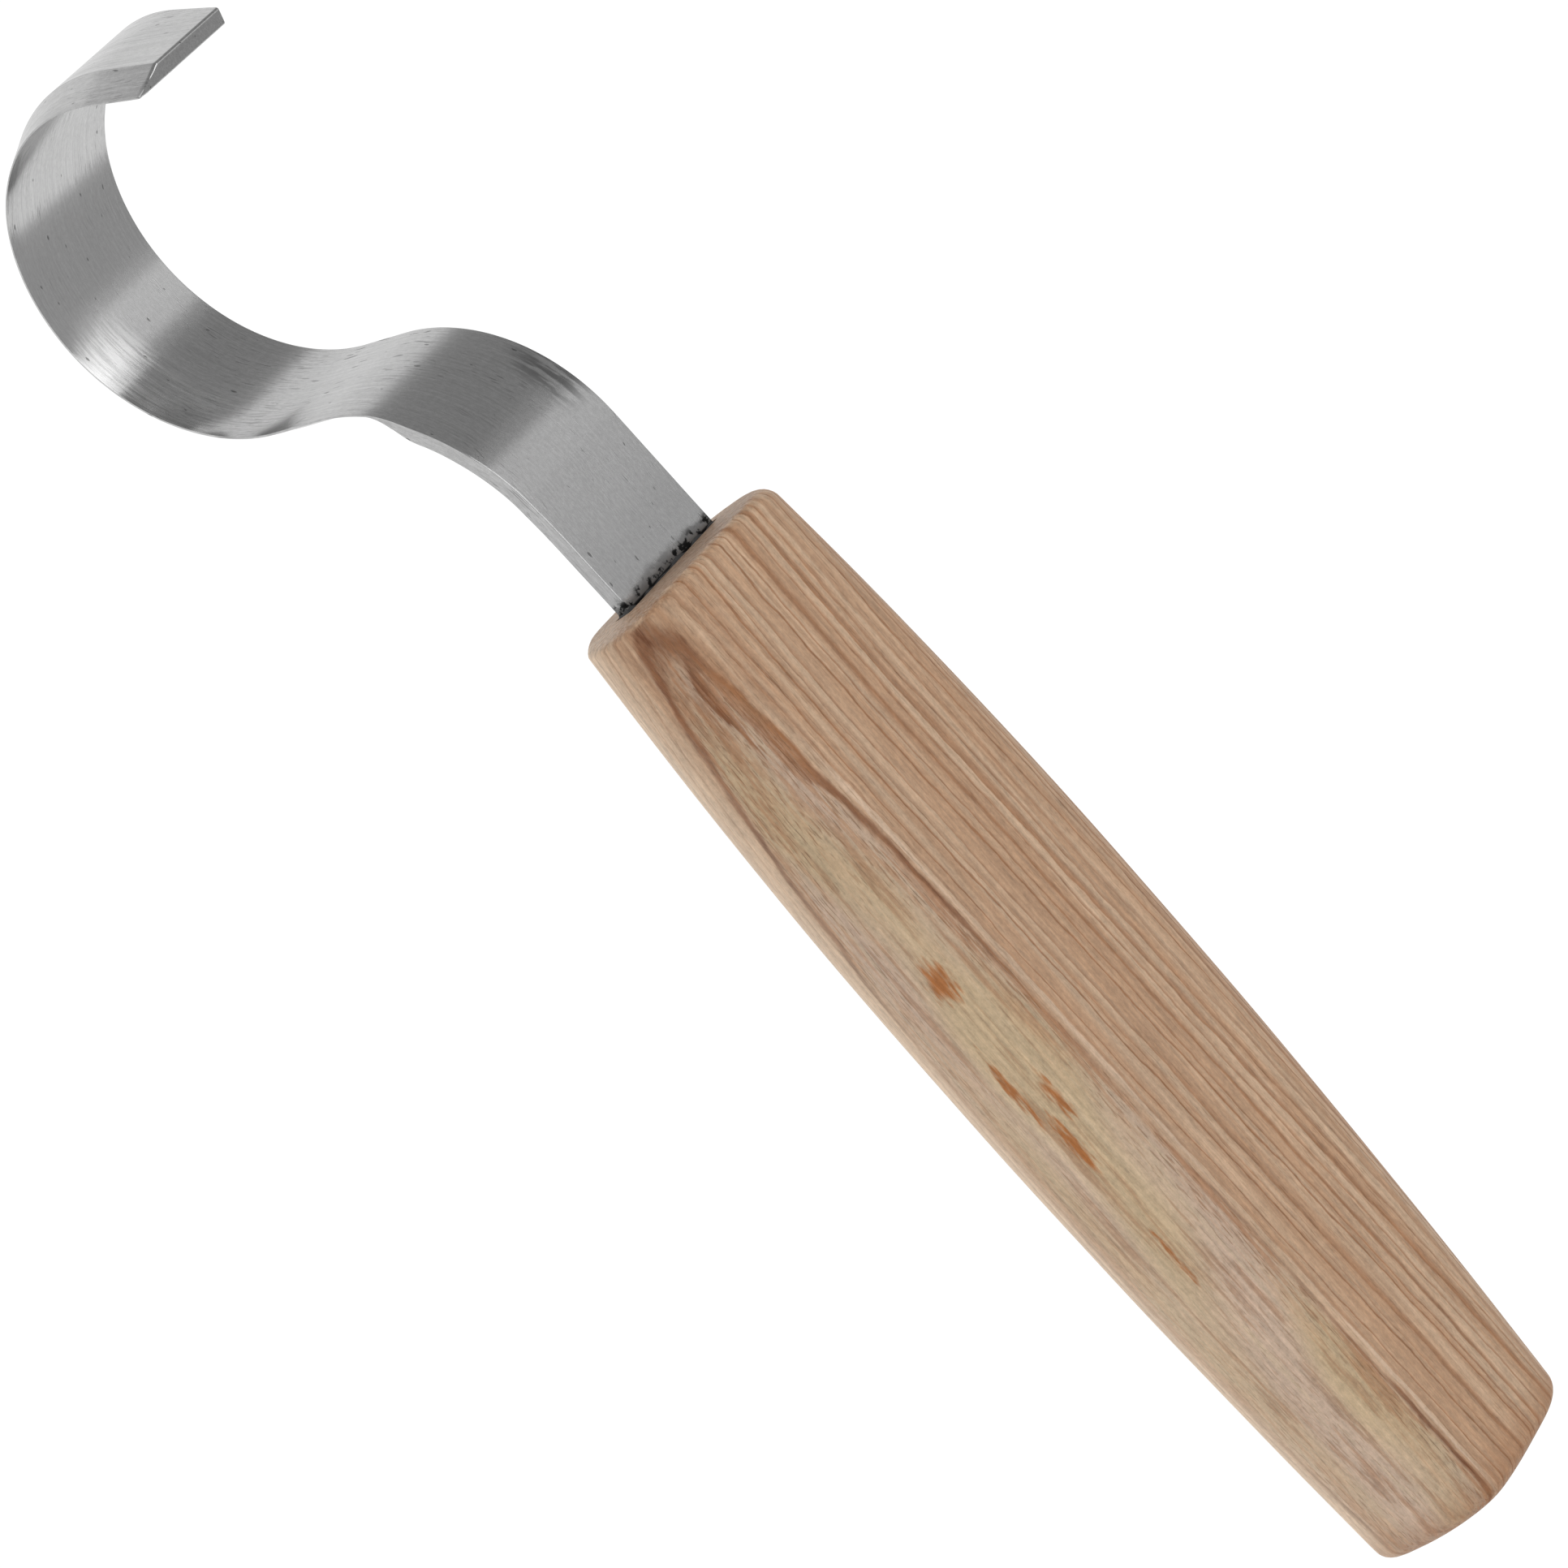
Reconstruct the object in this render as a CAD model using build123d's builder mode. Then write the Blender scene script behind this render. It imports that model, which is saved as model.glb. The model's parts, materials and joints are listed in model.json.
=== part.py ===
from build123d import *
import math
import os

# A hook knife for hollowing spoons and bowls. One strip of steel is bent into a hook, ground to a cutting
# edge along one side, and glued into a slot in an ash handle.
#
# The knife stands the way it rests on a bench: on the round back of the hook and on the lower edge of the
# handle's butt. Z is up, X points from the butt to the hook, and the cutting edge is on the +Y side.
# Lengths are in millimetres and angles in degrees.

# Steel strip. Its path is the hollow face of the strip, drawn from the handle's mouth to the tip.
steel_thickness = 1.7
face_height = -0.3  # of the hollow face at the mouth, from the handle's axis
shank_length = 13.2
dip_radius = 17.9
dip_angle = 74.0
throat_length = 5.1
hook_radius = 17.3
hook_angle = 187.0
tip_length = 6.5

# Sides of the strip, measured from the plane of the hook. The strip leans a little towards its cutting edge,
# bulges on that side before the grinding, and is rounded back on the spine side near the tip.
spine_at_mouth = 7.6
spine_slope = -0.018
tip_rounding_start = 80.0
tip_rounding = 0.004
edge_at_mouth = 7.45
edge_slope = 0.03
shoulder_width = 0.6
shoulder_start = 8.0
shoulder_full = 22.0

# Cutting edge, ground on the round back of the strip. The bevel runs in over a short stretch of the dip.
bevel_start = 25.0
bevel_full = 31.0
bevel_width = 3.7
edge_land = 0.2
broken_corner = 0.2

# Tang, inside the handle
tang_length = 56.0
tang_half_width = 5.0
tang_taper_start = 8.0

# Handle: a board with a barrel outline, flat on two faces, its long edges rounded almost to half rounds
handle_length = 110.0
handle_thickness = 15.0
belly_half_width = 14.85
belly_distance = 50.0
mouth_half_width = 12.1
butt_half_width = 12.25
butt_bulge = 1.4
butt_skew = 0.5  # the cutting edge's side of the butt is this much longer, and the other side shorter
long_edge_radius = 6.8
butt_rim_radius = 1.6
mouth_rim_radius = 2.2

# Slot for the tang, and the epoxy that fills it and climbs the steel a little at the mouth
slot_clearance = 0.4
slot_depth = 60.0
epoxy_recess = 0.15
bead_height = 0.8
bead_reach = 0.35
bead_end_gap = 0.6

# Rest pose. A straight floor touches the outer circle of the hook and the rounded lower edge of the butt, so
# the pitch follows from those two circles, both given in the plane of the hook.
bend_heading = math.radians(-dip_angle)
hook_centre_u = (
    shank_length
    + dip_radius * math.sin(-bend_heading)
    + throat_length * math.cos(bend_heading)
    - hook_radius * math.sin(bend_heading)
)
hook_centre_v = (
    face_height
    - dip_radius * (1 - math.cos(bend_heading))
    + throat_length * math.sin(bend_heading)
    + hook_radius * math.cos(bend_heading)
)
hook_outer_radius = hook_radius + steel_thickness
butt_centre_u = -handle_length - butt_bulge + butt_rim_radius
butt_centre_v = butt_rim_radius - handle_thickness / 2
span_u = hook_centre_u - butt_centre_u
span_v = hook_centre_v - butt_centre_v
tangent_angle = math.asin((hook_outer_radius - butt_rim_radius) / math.hypot(span_u, span_v))
pitch = tangent_angle - math.atan2(span_v, span_u)
cos_pitch = math.cos(pitch)
sin_pitch = math.sin(pitch)
front_reach = hook_centre_u * cos_pitch - hook_centre_v * sin_pitch + hook_outer_radius
back_reach = butt_centre_u * cos_pitch + butt_centre_v * sin_pitch - butt_rim_radius
mouth_x = -(front_reach + back_reach) / 2
mouth_z = hook_outer_radius - hook_centre_u * sin_pitch - hook_centre_v * cos_pitch

# Plane of the hook, with its origin where the handle's axis leaves the mouth: local x runs along the handle
# towards the hook, local y across its flat faces to the open side of the hook, local z to the spine side.
hook_plane = Plane(
    origin=(mouth_x, 0, mouth_z),
    x_dir=(cos_pitch, 0, sin_pitch),
    z_dir=(0, -1, 0),
)
# Plane through the handle's axis, parallel to its flat faces
board_plane = Plane(origin=hook_plane.origin, x_dir=hook_plane.x_dir, z_dir=hook_plane.y_dir)
# Plane of the handle's mouth: local x to the spine side, local z out of the handle
mouth_plane = Plane(origin=hook_plane.origin, x_dir=hook_plane.z_dir, z_dir=hook_plane.x_dir)


def smooth_step(distance, start, end):
    """0 before start, 1 after end, with an even S-curve between."""
    share = min(max((distance - start) / (end - start), 0.0), 1.0)
    return share * share * (3 - 2 * share)


def spine_offset(distance):
    """Distance from the hook plane to the spine, at a distance along the strip from the mouth."""
    rounded_by = tip_rounding * max(distance - tip_rounding_start, 0.0) ** 2
    return spine_at_mouth + spine_slope * distance - rounded_by


def edge_offset(distance):
    """Distance from the hook plane to the sharpened side, as a positive number."""
    swell = smooth_step(distance, shoulder_start, shoulder_full)
    left_by_grinding = 1 - smooth_step(distance, bevel_start, bevel_full)
    return edge_at_mouth + edge_slope * distance + shoulder_width * swell * left_by_grinding


def strip_outline(spine, edge, bevel, land):
    """Closed outline of the strip's section: x to the spine, y from the hollow face to the round back."""
    Polyline(
        (spine, 0),
        (spine, steel_thickness),
        (bevel - edge, steel_thickness),
        (-edge, land),
        (-edge, 0),
        close=True,
    )


# The strip's path, in the local coordinates of the hook plane
with BuildLine() as strip_path:
    shank = Line((0, face_height), (shank_length, face_height))
    dip = JernArc(shank @ 1, shank % 1, dip_radius, -dip_angle)
    throat = Line(dip @ 1, dip @ 1 + (dip % 1) * throat_length)
    hook = JernArc(throat @ 1, throat % 1, hook_radius, hook_angle)
    Line(hook @ 1, hook @ 1 + (hook % 1) * tip_length)
path = strip_path.wire()


def section_plane(distance):
    """Plane across the strip: local x to the spine, local y to the round back, local z towards the tip."""
    point = path.position_at(distance, position_mode=PositionMode.LENGTH)
    heading = path.tangent_at(distance, position_mode=PositionMode.LENGTH)
    return Plane(
        origin=hook_plane.from_local_coords(point),
        x_dir=hook_plane.z_dir,
        z_dir=hook_plane.x_dir * heading.X + hook_plane.y_dir * heading.Y,
    )


slot_width = spine_offset(0) + edge_offset(0) + 2 * slot_clearance
slot_thickness = steel_thickness + 2 * slot_clearance
slot_centre = ((spine_offset(0) - edge_offset(0)) / 2, steel_thickness / 2 - face_height)

# Places along the strip where its section is drawn: closer together where the bevel runs in
shank_steps = 4
grind_steps = 4
hook_steps = 14
stations = [bevel_start * step / shank_steps for step in range(shank_steps)]
stations += [bevel_start + (bevel_full - bevel_start) * step / grind_steps for step in range(grind_steps)]
stations += [bevel_full + (path.length - bevel_full) * step / hook_steps for step in range(hook_steps + 1)]

with BuildPart() as blade:
    for station in stations:
        ground = smooth_step(station, bevel_start, bevel_full)
        with BuildSketch(section_plane(station)):
            with BuildLine():
                strip_outline(
                    spine_offset(station),
                    edge_offset(station),
                    broken_corner + (bevel_width - broken_corner) * ground,
                    steel_thickness - broken_corner + (edge_land - steel_thickness + broken_corner) * ground,
                )
            make_face()
    loft()
    with BuildSketch(board_plane.offset(face_height)):
        with BuildLine():
            Polyline(
                (0, -spine_offset(0)),
                (-tang_taper_start, -spine_offset(0)),
                (-tang_length, -tang_half_width),
                (-tang_length, tang_half_width),
                (-tang_taper_start, edge_offset(0)),
                (0, edge_offset(0)),
                close=True,
            )
        make_face()
    extrude(amount=-steel_thickness)

with BuildPart() as handle:
    with BuildSketch(board_plane):
        with BuildLine():
            for side in (1, -1):
                belly = (-belly_distance, side * belly_half_width)
                butt_corner = (-handle_length - side * butt_skew, side * butt_half_width)
                TangentArc(belly, (0, side * mouth_half_width), tangent=(1, 0))
                TangentArc(belly, butt_corner, tangent=(-1, 0))
            Line((0, -mouth_half_width), (0, mouth_half_width))
            ThreePointArc(
                (-handle_length + butt_skew, -butt_half_width),
                (-handle_length - butt_bulge, 0),
                (-handle_length - butt_skew, butt_half_width),
            )
        make_face()
    extrude(amount=handle_thickness / 2, both=True)
    fillet(handle.edges().filter_by(lambda edge: edge.length > handle_length / 3), radius=long_edge_radius)
    ends = handle.faces().sort_by(Axis(hook_plane.origin, hook_plane.x_dir))
    fillet(ends[0].edges(), radius=butt_rim_radius)
    fillet(ends[-1].edges(), radius=mouth_rim_radius)
    with BuildSketch(mouth_plane):
        with Locations(slot_centre):
            Rectangle(slot_width, slot_thickness)
    extrude(amount=-slot_depth, mode=Mode.SUBTRACT)

with BuildPart() as epoxy_bedding:
    with BuildSketch(mouth_plane.offset(-slot_depth)):
        with Locations(slot_centre):
            Rectangle(slot_width, slot_thickness)
    extrude(amount=slot_depth - epoxy_recess)
    with BuildSketch(hook_plane.offset(bead_end_gap - edge_offset(0))):
        for surface, side in ((face_height, 1), (face_height - steel_thickness, -1)):
            with BuildLine():
                Polyline(
                    (-epoxy_recess, surface),
                    (bead_height, surface),
                    (-epoxy_recess, surface + side * bead_reach),
                    close=True,
                )
            make_face()
    extrude(amount=spine_offset(0) + edge_offset(0) - 2 * bead_end_gap)
    add(blade.part, mode=Mode.SUBTRACT)

blade.part.label = "blade"
handle.part.label = "handle"
epoxy_bedding.part.label = "epoxy_bedding"
os.makedirs("parts", exist_ok=True)
export_step(blade.part, "parts/blade.step")
export_step(handle.part, "parts/handle.step")
export_step(epoxy_bedding.part, "parts/epoxy_bedding.step")
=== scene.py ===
import json
import math

import bpy
import numpy as np
from mathutils import Matrix, Vector, noise


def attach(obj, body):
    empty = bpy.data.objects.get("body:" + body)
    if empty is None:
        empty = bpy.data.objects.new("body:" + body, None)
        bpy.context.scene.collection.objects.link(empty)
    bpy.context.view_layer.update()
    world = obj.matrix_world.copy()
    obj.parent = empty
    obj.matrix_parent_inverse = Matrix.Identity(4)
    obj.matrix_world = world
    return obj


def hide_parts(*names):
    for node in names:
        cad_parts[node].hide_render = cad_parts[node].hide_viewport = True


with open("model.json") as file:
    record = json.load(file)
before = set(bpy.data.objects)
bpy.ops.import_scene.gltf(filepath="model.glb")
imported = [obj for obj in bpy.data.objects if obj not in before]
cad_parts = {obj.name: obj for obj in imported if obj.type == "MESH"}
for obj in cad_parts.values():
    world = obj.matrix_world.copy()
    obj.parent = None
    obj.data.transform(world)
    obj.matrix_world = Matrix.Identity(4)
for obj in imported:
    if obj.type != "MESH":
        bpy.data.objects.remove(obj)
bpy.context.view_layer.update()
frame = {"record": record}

# A hook knife: a bent steel strip glued into an ash handle. It stands on the back of its hook and the butt.
#
# The pieces are drawn in the knife's own coordinates, in millimetres: u along the handle's axis towards the
# hook, with 0 at the handle's mouth, v across the flat faces towards the open side of the hook, and w towards
# the spine of the strip. Everything that is built from them is then placed in the frame, in metres.

MM = 0.001

# Steel strip
THICKNESS = 1.7
FACE_V = -0.3
SHANK_LENGTH = 13.2
DIP_RADIUS = 17.9
DIP_ANGLE = math.radians(74.0)
THROAT_LENGTH = 5.1
HOOK_RADIUS = 17.3
HOOK_ANGLE = math.radians(187.0)
TIP_LENGTH = 6.5
SPINE_AT_MOUTH = 7.6
SPINE_SLOPE = -0.018
TIP_ROUNDING_START = 80.0
TIP_ROUNDING = 0.004
EDGE_AT_MOUTH = 7.45
EDGE_SLOPE = 0.03
SHOULDER_WIDTH = 0.6
SHOULDER_START = 8.0
SHOULDER_FULL = 22.0
BEVEL_START = 25.0
BEVEL_FULL = 31.0
BEVEL_WIDTH = 3.7
EDGE_LAND = 0.2
BROKEN_CORNER = 0.2
TANG_LENGTH = 56.0
TANG_HALF_WIDTH = 5.0
TANG_TAPER_START = 8.0

# A tiny second bevel on the hollow face, full only near the tip
MICRO_BEVEL_WIDTH = 1.1
MICRO_BEVEL_DROP = 0.07
MICRO_BEVEL_LEAST = 0.01
MICRO_BEVEL_START = 72.0
MICRO_BEVEL_FULL = 80.0

# Small radii of the strip's corners
SPINE_CORNER = 0.14
BEVEL_CORNER = 0.06
EDGE_CORNER = 0.03
UNGROUND_CORNER = 0.15
MICRO_BEVEL_CORNER = 0.05

# Unevenness of the steel's faces, which lie this far inside the strip's nominal faces
FACE_INSET = 0.016
BROAD_RIPPLE = 0.012
FINE_RIPPLE = 0.004

# The tip's end face: its rim is taken off in rings, each given as distance before the end and inset
TIP_RIM = ((0.22, 0.02), (0.12, 0.06), (0.04, 0.13), (0.0, 0.22))
TIP_HALF_WIDTH = 7.0
STATION_STEP = 0.25

# Handle
HANDLE_LENGTH = 110.0
HALF_THICKNESS = 7.5
BELLY_HALF_WIDTH = 14.85
BELLY_DISTANCE = 50.0
MOUTH_HALF_WIDTH = 12.1
BUTT_HALF_WIDTH = 12.25
BUTT_BULGE = 1.375
BUTT_SKEW = 0.5
BUTT_FADE = 25.0  # how far into the body the rings follow the butt's shape
LONG_EDGE_RADIUS = 6.8
BUTT_RIM_RADIUS = 1.6
BUTT_RIM_CRISP = 0.9  # at the spine's side
MOUTH_RIM_RADIUS = 2.2  # at the spine's side; the rim is crisper elsewhere
MOUTH_RIM_CRISP = 1.1
MOUTH_SET_BACK = 0.45  # of the end face, at the cutting edge's side
SANDED_DEPTH = 0.045

# Slot and the glue in it
SLOT_CLEARANCE = 0.4
SLOT_DEPTH = 60.0
SLOT_RINGS = (0.0, 0.15, 0.6, 2.0, 10.0, SLOT_DEPTH)
EPOXY_RECESS = 0.15
GLUE_GAP = 0.012  # between the glue and the steel
WALL_GAP = 0.01  # between the glue and the wood

# Numbers of mesh steps
CORNER_STEPS = 3
SECTION_SPANS = (4, 26, 8, 2, 3, 30)
GUARD = 0.02
BOARD_CORNER_STEPS = 18
BOARD_SPANS = (3, 26, 3, 26)
CAP_STEPS = 10
RIM_STEPS = 8
BODY_STEPS = 150
FACE_STEPS = 8
GLUE_STEPS = 9

# The knife's own axes, from the flat face of the handle that the record states
upper_flat = next(m for m in frame["record"]["mounts"] if m["name"] == "upper_flat")
V_AXIS = Vector(upper_flat["axis"]).normalized()
U_AXIS = Vector((V_AXIS.z, 0.0, -V_AXIS.x))
W_AXIS = Vector((0.0, -1.0, 0.0))
MOUTH = Vector(upper_flat["pos_m"]) - HALF_THICKNESS * MM * V_AXIS + HANDLE_LENGTH / 2 * MM * U_AXIS


def to_frame(points):
    """Points in the knife's coordinates and millimetres, as points of the frame in metres."""
    axes = np.array([U_AXIS, V_AXIS, W_AXIS])
    return np.asarray(points) @ axes * MM + np.array(MOUTH)


def smooth_step(value, start, end):
    """0 before start, 1 after end, with an even S-curve between."""
    share = min(max((value - start) / (end - start), 0.0), 1.0)
    return share * share * (3 - 2 * share)


def uneven(u, v, w):
    """A value from -1 to 1 that drifts smoothly from place to place."""
    return noise.noise(Vector((u, v, w)))


# ---------------------------------------------------------------- meshes


def with_centres(rings):
    """All points of the rings, then the centres of the first and the last ring."""
    rings = [np.asarray(ring, float) for ring in rings]
    return np.concatenate(rings + [rings[0].mean(0)[None], rings[-1].mean(0)[None]])


def add_to_scene(name, data):
    """A new object in the scene that shows the data."""
    thing = bpy.data.objects.new(name, data)
    bpy.context.scene.collection.objects.link(thing)
    return thing


def skin(name, rings, marks=None, sharp_angle=28.0):
    """A closed mesh through rings with the same number of points, each end closed by a fan.

    The attribute "place" keeps the points in the knife's coordinates, or the marks in their stead.
    """
    points = with_centres(rings)
    count = len(rings[0])
    first_centre = count * len(rings)
    last = count * (len(rings) - 1)
    faces = []
    for low in range(0, last, count):
        high = low + count
        for i in range(count):
            j = (i + 1) % count
            faces.append((low + i, low + j, high + j, high + i))
    for i in range(count):
        j = (i + 1) % count
        faces.append((first_centre, j, i))
        faces.append((first_centre + 1, last + i, last + j))
    mesh = bpy.data.meshes.new(name)
    mesh.from_pydata(to_frame(points).tolist(), [], faces)
    values = points if marks is None else with_centres(marks)
    place = mesh.attributes.new("place", "FLOAT_VECTOR", "POINT")
    place.data.foreach_set("vector", values.astype(np.float32).ravel())
    mesh.shade_smooth()
    mesh.set_sharp_from_angle(angle=math.radians(sharp_angle))
    mesh.update()
    return add_to_scene(name, mesh)


def corner_arc(before, corner, after, radius):
    """A soft arc in place of a corner, between the corners before and after it."""
    back, ahead = before - corner, after - corner
    back_length, ahead_length = np.linalg.norm(back), np.linalg.norm(ahead)
    back, ahead = back / back_length, ahead / ahead_length
    half = math.acos(float(np.clip(back @ ahead, -1, 1))) / 2
    reach = min(radius / math.tan(half), 0.45 * back_length, 0.45 * ahead_length)
    start, end = corner + back * reach, corner + ahead * reach
    ts = np.linspace(0, 1, CORNER_STEPS + 1)[:, None]
    return (1 - ts) ** 2 * start + 2 * ts * (1 - ts) * corner + ts**2 * end


def soft_corners(corners, radii, spans):
    """A closed outline through corners, each rounded by its radius, with spans[i] pieces from i to i + 1."""
    corners = [np.array(corner, float) for corner in corners]
    count = len(corners)
    arcs = [corner_arc(corners[i - 1], corners[i], corners[(i + 1) % count], radii[i]) for i in range(count)]
    outline = []
    for i, arc in enumerate(arcs):
        outline.append(arc)
        gap_end = arcs[(i + 1) % count][0]
        # a point close to each arc keeps its shading from spreading over the flat beside it
        guard = min(GUARD / max(np.linalg.norm(gap_end - arc[-1]), 1e-6), 0.2)
        ts = np.concatenate([[guard], np.linspace(0, 1, spans[i] + 1)[1:-1], [1 - guard]])[:, None]
        outline.append(arc[-1] + ts * (gap_end - arc[-1]))
    return np.concatenate(outline)


# Steel strip

# Straight and bent runs of the strip, each with its length and its curvature
STRIP_RUNS = (
    (SHANK_LENGTH, 0.0),
    (DIP_RADIUS * DIP_ANGLE, -1 / DIP_RADIUS),
    (THROAT_LENGTH, 0.0),
    (HOOK_RADIUS * HOOK_ANGLE, 1 / HOOK_RADIUS),
    (TIP_LENGTH, 0.0),
)
STRIP_LENGTH = sum(length for length, curvature in STRIP_RUNS)


def strip_point(distance):
    """(u, v, heading) of the strip's hollow face at a distance along it from the mouth."""
    u, v, heading = min(distance, 0.0), FACE_V, 0.0
    left = max(distance, 0.0)
    for length, curvature in STRIP_RUNS:
        step = min(left, length)
        left -= step
        turn = curvature * step
        if curvature:
            u += (math.sin(heading + turn) - math.sin(heading)) / curvature
            v -= (math.cos(heading + turn) - math.cos(heading)) / curvature
        else:
            u += step * math.cos(heading)
            v += step * math.sin(heading)
        heading += turn
    return u, v, heading


def spine_offset(distance):
    """w of the spine at a distance along the strip."""
    rounded_by = TIP_ROUNDING * max(distance - TIP_ROUNDING_START, 0.0) ** 2
    return SPINE_AT_MOUTH + SPINE_SLOPE * distance - rounded_by


def edge_offset(distance):
    """Distance from the plane of the hook to the sharpened side, as a positive number."""
    swell = smooth_step(distance, SHOULDER_START, SHOULDER_FULL)
    left_by_grinding = 1 - smooth_step(distance, BEVEL_START, BEVEL_FULL)
    return EDGE_AT_MOUTH + EDGE_SLOPE * distance + SHOULDER_WIDTH * swell * left_by_grinding


def strip_section(distance):
    """Outline of the strip's section as (w, depth below the hollow face)."""
    ground = smooth_step(distance, BEVEL_START, BEVEL_FULL)
    micro = smooth_step(distance, MICRO_BEVEL_START, MICRO_BEVEL_FULL)
    spine, edge = spine_offset(distance), -edge_offset(distance)
    bevel = BROKEN_CORNER + (BEVEL_WIDTH - BROKEN_CORNER) * ground
    land = THICKNESS - BROKEN_CORNER + (EDGE_LAND - THICKNESS + BROKEN_CORNER) * ground
    drop = MICRO_BEVEL_LEAST + (MICRO_BEVEL_DROP - MICRO_BEVEL_LEAST) * micro
    edge_corner = EDGE_CORNER + (UNGROUND_CORNER - EDGE_CORNER) * (1 - ground)
    corners = (
        (spine, 0.0),
        (spine, THICKNESS),
        (edge + bevel, THICKNESS),
        (edge, land),
        (edge, drop),
        (edge + MICRO_BEVEL_WIDTH, 0.0),
    )
    radii = (SPINE_CORNER, SPINE_CORNER, BEVEL_CORNER, EDGE_CORNER, edge_corner, MICRO_BEVEL_CORNER)
    return soft_corners(corners, radii, SECTION_SPANS)


def on_strip(distance, section):
    """Points of the knife's coordinates for a section at a distance along the strip."""
    u, v, heading = strip_point(distance)
    w, depth = section[:, 0], section[:, 1]
    return np.stack([u + depth * math.sin(heading), v - depth * math.cos(heading), w], axis=1)


def strip_marks(distance, section):
    """Distance along the strip, w and depth of each point of a section."""
    return np.column_stack([np.full(len(section), distance), section])


def hand_ground(distance, section):
    """The section with the slight unevenness of hand-ground, hand-bent steel, none of it at the handle."""
    out = section.copy()
    fade = smooth_step(distance, 0.0, 4.0)
    for point in out:
        inward = 1 if point[1] < THICKNESS / 2 else -1
        broad = BROAD_RIPPLE * uneven(distance * 0.16, point[0] * 0.10, 3.7)
        fine = FINE_RIPPLE * uneven(distance * 0.55, point[0] * 0.35, 8.1)
        point[1] += fade * (FACE_INSET + broad + fine) * inward
    return out


def make_blade():
    """The strip from the end of its tapered tang to the tip."""
    rings, marks = [], []
    mouth_section = strip_section(0.0)
    for distance, taper in ((-TANG_LENGTH, 1.0), (-TANG_TAPER_START - 0.5, 0.01), (-TANG_TAPER_START, 0.0)):
        section = mouth_section.copy()
        section[:, 0] *= 1 + taper * (TANG_HALF_WIDTH / SPINE_AT_MOUTH - 1)
        rings.append(on_strip(distance, section))
        marks.append(strip_marks(distance, section))
    for distance in np.arange(-2.0, STRIP_LENGTH - 0.30, STATION_STEP):
        section = strip_section(max(distance, 0.0))
        rings.append(on_strip(distance, hand_ground(distance, section)))
        marks.append(strip_marks(distance, section))
    end_section = strip_section(STRIP_LENGTH)
    centre = end_section.mean(0)
    for before_end, inset in TIP_RIM:
        shrink = np.array([1 - inset / TIP_HALF_WIDTH, 1 - inset * 2 / THICKNESS])
        section = centre + (end_section - centre) * shrink
        rings.append(on_strip(STRIP_LENGTH - before_end, section))
        marks.append(strip_marks(STRIP_LENGTH - before_end, section))
    piece = skin("blade_strip", rings, marks, sharp_angle=24.0)
    add_width_map(piece)
    return piece


def add_width_map(piece):
    """A UV map whose first axis runs across the strip, for the direction of the brushing."""
    mesh = piece.data
    place = np.zeros(len(mesh.vertices) * 3, np.float32)
    mesh.attributes["place"].data.foreach_get("vector", place)
    place = place.reshape(-1, 3)
    corners = np.zeros(len(mesh.loops), np.int32)
    mesh.loops.foreach_get("vertex_index", corners)
    uv = np.empty((len(corners), 2), np.float32)
    uv[:, 0] = (place[corners, 1] + place[corners, 2]) / 40 + 0.5
    uv[:, 1] = (place[corners, 0] + 60) / 180
    layer = mesh.uv_layers.new(name="across_strip")
    layer.data.foreach_set("uv", uv.ravel())


# Handle

BODY_START = -HANDLE_LENGTH + BUTT_RIM_RADIUS
BODY_END = -MOUTH_RIM_RADIUS


def handle_half_width(u):
    """Half width of the barrel outline: an arc each way from the belly."""
    x = u + BELLY_DISTANCE
    if x > 0:
        reach, drop = BELLY_DISTANCE, BELLY_HALF_WIDTH - MOUTH_HALF_WIDTH
    else:
        reach, drop = HANDLE_LENGTH - BELLY_DISTANCE, BELLY_HALF_WIDTH - BUTT_HALF_WIDTH
    radius = (reach**2 + drop**2) / (2 * drop)
    return BELLY_HALF_WIDTH - (radius - math.sqrt(radius**2 - x * x))


def board_ring(u, half_w, half_v, radius):
    """A ring across the handle: flat above and below, its corners rounded by radius."""
    arcs = []
    for corner, (side_v, side_w) in enumerate(((1, 1), (-1, 1), (-1, -1), (1, -1))):
        centre = np.array((side_v * (half_v - radius), side_w * (half_w - radius)))
        quarters = [corner + step / BOARD_CORNER_STEPS for step in range(BOARD_CORNER_STEPS + 1)]
        angles = [math.pi / 2 * quarter for quarter in quarters]
        arcs.append([centre + radius * np.array((math.cos(angle), math.sin(angle))) for angle in angles])
    outline = []
    for corner, arc in enumerate(arcs):
        outline += arc
        gap = arcs[(corner + 1) % 4][0] - arc[-1]
        span = BOARD_SPANS[corner]
        outline += [arc[-1] + gap * step / span for step in range(1, span)]
    return np.column_stack([np.full(len(outline), u), np.array(outline)])


def sanded(ring):
    """Takes up to a tenth of a millimetre off the wood, unevenly, as sanding does."""
    out = ring.copy()
    for point in out:
        drift = uneven(point[0] * 0.07, point[1] * 0.22, point[2] * 0.22)
        point[1:] *= 1 - SANDED_DEPTH * (1 + drift) / math.hypot(point[1], point[2])
    return out


def butt_shift(w, half_w):
    """How far beyond the nominal butt the handle's end reaches, at w: bulged, and a little out of square."""
    share = w / half_w
    return -BUTT_BULGE * (1 - share**2) + BUTT_SKEW * share


def butt_share(u):
    """How much of the butt's shift a ring of the body takes: all of it at the butt, none beyond the fade."""
    gone = (u - BODY_START) / BUTT_FADE
    return (1 - smooth_step(gone, 0.0, 1.0)) * (1 - gone)


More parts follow.
